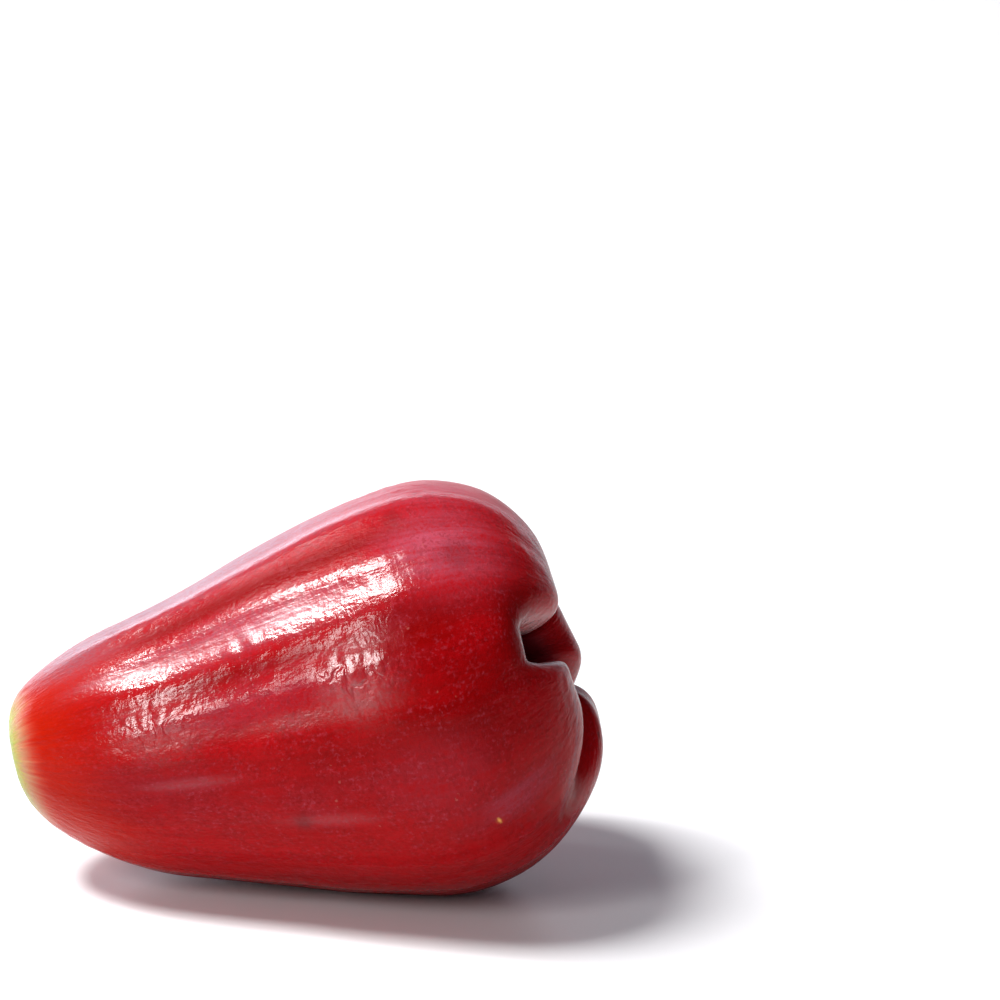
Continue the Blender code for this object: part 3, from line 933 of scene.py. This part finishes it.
def skin_material(settings):
    """Waxy skin: a dull shader and a glossy one, mixed by how thick the wax is."""
    material, tree, bare = new_material("skin")
    skin = SkinPatterns(tree)
    furrow = 1 - skin.ridge.step(-0.25, 0.15)
    rough = (
        settings.roughness + furrow * 0.16 + (skin.mottle - 0.5) * 0.14 + skin.polished * 0.03
        + skin.inside * 0.3 + skin.haze * 0.07
    )
    shared = {
        "Base Color": skin_colour(tree, skin, settings), "Normal": skin_bump(tree, skin),
        "Subsurface Weight": 0.06, "Subsurface Radius": (1.0, 0.15, 0.10), "Subsurface Scale": 0.002,
    }
    set_shader(tree, bare, {"Roughness": rough, "IOR": BARE_IOR, **shared})
    wax = tree.nodes.new("ShaderNodeBsdfPrincipled")
    set_shader(tree, wax, {"Roughness": rough - 0.02, "IOR": WAX_IOR, **shared})
    thickness = skin.gloss * (0.38 + skin.mottle * 0.6 + skin.grain.step(0.4, 0.6) * 0.5)
    mixed = Pattern.node(
        tree, "ShaderNodeMixShader", {},
        {0: thickness.at_most(1.0), 1: Pattern(tree, bare.outputs[0]), 2: Pattern(tree, wax.outputs[0])},
    )
    tree.links.new(mixed.socket, tree.nodes["Material Output"].inputs["Surface"])
    return material


def dry_material(name, settings):
    """Dry fibre: mottled brown, darker towards the free ends, with a rough matt surface."""
    material, tree, shader = new_material(name)
    form = Pattern.node(tree, "ShaderNodeAttribute", {"attribute_name": "dry_form"}, output=1)
    place = Pattern.node(tree, "ShaderNodeTexCoord", output=3)
    mottle = place.noise(1400.0, 3.0, 0.6)
    brown = Pattern.node(tree, "ShaderNodeRGB")
    brown.socket.default_value = colour(settings.dry_brown)
    fibre = brown.over(mottle.step(0.40, 0.70), STRAW)
    free_end = (form.part(0) + (mottle - 0.5) * 0.6).step(0.45, 0.95)
    fibre = fibre.over(free_end * 0.85, colour(settings.dry_tip))
    height = place.noise(2600.0) * 0.15
    bump = Pattern.node(tree, "ShaderNodeBump", {}, {"Strength": 0.8, "Distance": MM, "Height": height})
    set_shader(tree, shader, {
        "Base Color": fibre,
        "Roughness": 0.72 + (mottle - 0.5) * 0.2,
        "Normal": bump,
        "IOR": 1.45,
    })
    return material


def floor_material(settings):
    """Pale floor with a faint soft gloss."""
    material, tree, shader = new_material("pale_floor")
    place = Pattern.node(tree, "ShaderNodeTexCoord", output=3)
    pale = Pattern.node(tree, "ShaderNodeRGB")
    pale.socket.default_value = colour(settings.floor_colour)
    set_shader(tree, shader, {
        "Base Color": pale.over(place.noise(3.0, 2.0) * 0.1, FLOOR_SHADE),
        "Roughness": 0.30,
        "IOR": 1.35,
    })
    return material


def make_floor(settings):
    """Wide round floor at the height that the fruit rests on."""
    columns = 96
    turn = 2 * np.pi * np.arange(columns) / columns
    points = np.stack([FLOOR_RADIUS * np.cos(turn), FLOOR_RADIUS * np.sin(turn), np.zeros(columns)], -1)
    mesh = bpy.data.meshes.new("floor")
    mesh.from_pydata(points.tolist(), [], [list(range(columns))])
    mesh.materials.append(floor_material(settings))
    floor = bpy.data.objects.new("floor", mesh)
    floor.location.z = -FLOOR_DROP
    bpy.context.scene.collection.objects.link(floor)


def make_light(name, way, size, power, target):
    """Soft rectangular light in a direction from the target, facing it."""
    data = bpy.data.lights.new(name, "AREA")
    data.shape = "RECTANGLE"
    data.size, data.size_y = size
    data.energy = power
    light = bpy.data.objects.new(name, data)
    way = Vector(way).normalized()
    light.location = target + way * LIGHT_DISTANCE
    light.rotation_euler = way.to_track_quat("Z", "Y").to_euler()
    bpy.context.scene.collection.objects.link(light)


def make_sun(settings):
    """Broad even light from a direction, which lights the whole floor alike."""
    data = bpy.data.lights.new("overhead", "SUN")
    data.energy = settings.sun
    data.angle = np.radians(settings.sun_angle)
    light = bpy.data.objects.new("overhead", data)
    light.rotation_euler = Vector(OVERHEAD_WAY).to_track_quat("Z", "Y").to_euler()
    bpy.context.scene.collection.objects.link(light)


def make_sky(settings):
    """Dim even light from all sides, and a bright backdrop low down behind, brightest on the left."""
    world = bpy.data.worlds.new("studio")
    bpy.context.scene.world = world
    world.use_nodes = True
    tree = world.node_tree
    way = Pattern.node(tree, "ShaderNodeTexCoord", output=0)
    right, back, up = (way.part(number) for number in range(3))
    behind = back.step(0.3, 0.9) * (1 - up.step(0.16, 0.42)) * (1 - right.step(-0.35, 0.25) * 0.65)
    strength = settings.ambient + behind * settings.backdrop
    background = tree.nodes["Background"]
    background.inputs["Color"].default_value = SKY_COLOUR
    tree.links.new(strength.socket, background.inputs["Strength"])


def make_camera(settings):
    """Camera at the photograph's angle. It aims to the right of the fruit and above it, a little rolled."""
    low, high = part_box("fruit")
    middle = (low + high) / 2
    turn, rise, roll = np.radians((settings.azimuth, settings.elevation, settings.roll))
    ahead = Vector((-np.sin(turn) * np.cos(rise), np.cos(turn) * np.cos(rise), -np.sin(rise)))
    right = Vector((np.cos(turn), np.sin(turn), 0))
    up = right.cross(ahead)
    right, up = right * np.cos(roll) + up * np.sin(roll), up * np.cos(roll) - right * np.sin(roll)
    place = middle + right * settings.aim_right + up * settings.aim_up - ahead * settings.distance
    data = bpy.data.cameras.new("camera")
    data.lens, data.sensor_width = settings.lens, 36.0
    data.clip_start, data.clip_end = 0.01, 100.0
    camera = bpy.data.objects.new("camera", data)
    rotation = Matrix((right, up, -ahead)).transposed().to_4x4()
    camera.matrix_world = Matrix.Translation(place) @ rotation
    bpy.context.scene.collection.objects.link(camera)
    bpy.context.scene.camera = camera


class ROSEAPPLE_OT_skin(bpy.types.Operator):
    """Make the skin with its calyx lobes and cavity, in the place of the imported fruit."""

    bl_idname = "rose_apple.skin"
    bl_label = "Make skin"

    def execute(self, context):
        make_skin(context.scene.rose_apple_skin)
        return {"FINISHED"}


class ROSEAPPLE_OT_stamens(bpy.types.Operator):
    """Make the ring of dry stamens on the floor of the cavity."""

    bl_idname = "rose_apple.stamens"
    bl_label = "Make dry stamens"

    def execute(self, context):
        make_stamens(context.scene.rose_apple_remains)
        return {"FINISHED"}


class ROSEAPPLE_OT_style(bpy.types.Operator):
    """Make the dry style in the middle of the cavity."""

    bl_idname = "rose_apple.style"
    bl_label = "Make dry style"

    def execute(self, context):
        make_style(context.scene.rose_apple_remains)
        return {"FINISHED"}


class ROSEAPPLE_OT_studio(bpy.types.Operator):
    """Make the floor, the lights and the camera."""

    bl_idname = "rose_apple.studio"
    bl_label = "Make studio"

    def execute(self, context):
        settings = context.scene.rose_apple_studio
        low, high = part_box("fruit")
        middle = (low + high) / 2
        make_floor(settings)
        make_sky(settings)
        make_sun(settings)
        for name, (way, size) in SMALL_LIGHTS.items():
            make_light(name, way, size, getattr(settings, f"{name}_power"), middle)
        make_camera(settings)
        context.scene.view_settings.view_transform = "Standard"
        return {"FINISHED"}


class ROSEAPPLE_PT_panel(bpy.types.Panel):
    """Lists the steps and their settings in the sidebar."""

    bl_idname = "ROSEAPPLE_PT_panel"
    bl_label = PANEL_NAME
    bl_category = PANEL_NAME
    bl_space_type = "VIEW_3D"
    bl_region_type = "UI"

    def draw(self, context):
        for operator in OPERATORS:
            self.layout.operator(operator.bl_idname)
        for holder in SETTINGS:
            box = self.layout.box()
            settings = getattr(context.scene, holder)
            for name in settings.__annotations__:
                box.prop(settings, name)


SETTINGS = {
    "rose_apple_skin": SkinSettings,
    "rose_apple_remains": RemainsSettings,
    "rose_apple_studio": StudioSettings,
}
OPERATORS = (ROSEAPPLE_OT_skin, ROSEAPPLE_OT_stamens, ROSEAPPLE_OT_style, ROSEAPPLE_OT_studio)
CLASSES = (*SETTINGS.values(), *OPERATORS, ROSEAPPLE_PT_panel)


def register():
    for cls in CLASSES:
        bpy.utils.register_class(cls)
    for holder, cls in SETTINGS.items():
        setattr(bpy.types.Scene, holder, PointerProperty(type=cls))


def unregister():
    for holder in SETTINGS:
        delattr(bpy.types.Scene, holder)
    for cls in reversed(CLASSES):
        bpy.utils.unregister_class(cls)


def main():
    register()
    bpy.ops.rose_apple.skin()
    bpy.ops.rose_apple.stamens()
    bpy.ops.rose_apple.style()
    bpy.ops.rose_apple.studio()


if __name__ == "__main__":
    main()
